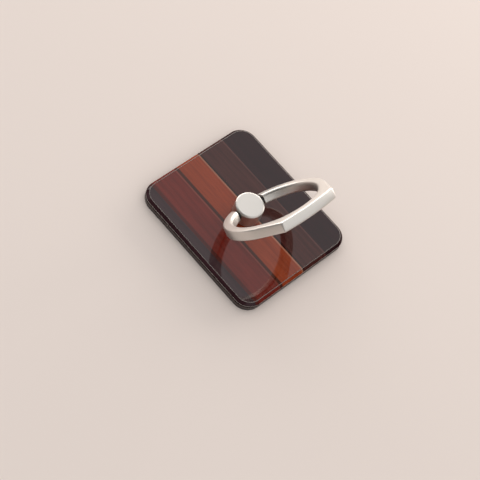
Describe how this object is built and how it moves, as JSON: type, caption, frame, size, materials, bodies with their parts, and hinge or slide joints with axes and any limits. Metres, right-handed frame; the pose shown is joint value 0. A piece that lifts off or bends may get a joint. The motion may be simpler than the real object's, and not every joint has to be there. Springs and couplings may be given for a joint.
{
  "type": "phone ring holder",
  "caption": "Small rounded stick-on plate with a wood-strip inlay under a clear tile, carrying a swivelling hub and a tilting finger ring that grips a phone or props it up.",
  "frame": {"origin": "middle of the sticky face that goes on the phone, under the swivel axis", "axes": "+Z out of the plate along the swivel axis, +Y along the plate's length, +X along the ring's hinge"},
  "size_m": [0.0356, 0.0406, 0.027],
  "materials": {
    "adhesive_foam": "fine closed-cell foam",
    "dark_plastic": "fine moulded grain",
    "charcoal_wood": "stained, under gloss",
    "mahogany_wood": "stained, under gloss",
    "orange_wood": "stained, under gloss",
    "brown_wood": "stained, under gloss",
    "ebony_wood": "stained, under gloss",
    "red_line": "stained, under gloss",
    "light_line": "pale, under gloss",
    "tan_line": "stained, under gloss",
    "clear_acrylic": "polished clear",
    "black_acetal": "turned",
    "spring_steel": "bright drawn",
    "satin_nickel": "satin plated"
  },
  "bodies": {
    "base": {"adhesive_pad": "adhesive_foam", "base_plate": "dark_plastic", "wood_strip_1": "charcoal_wood", "wood_strip_2": "mahogany_wood", "wood_strip_3": "orange_wood", "wood_strip_4": "brown_wood", "wood_strip_5": "ebony_wood", "inlay_line_1": "red_line", "inlay_line_2": "light_line", "inlay_line_3": "tan_line", "clear_cover": "clear_acrylic", "swivel_bush": "black_acetal"},
    "hub": {"hub_post": "satin_nickel", "disc_spring": "spring_steel", "hinge_washer_left": "black_acetal", "hinge_washer_right": "black_acetal"},
    "ring": {"finger_ring": "satin_nickel", "hinge_pin": "spring_steel"}
  },
  "joints": [
    {"name": "hub_swivel", "type": "hinge", "parent": "base", "child": "hub", "pos_m": [0, 0, 0.006], "axis": [0, 0, 1], "continuous": true},
    {"name": "ring_tilt", "type": "hinge", "parent": "hub", "child": "ring", "pos_m": [0, 0, 0.006], "axis": [-1, 0, 0], "range_deg": [-54, 126]}
  ]
}
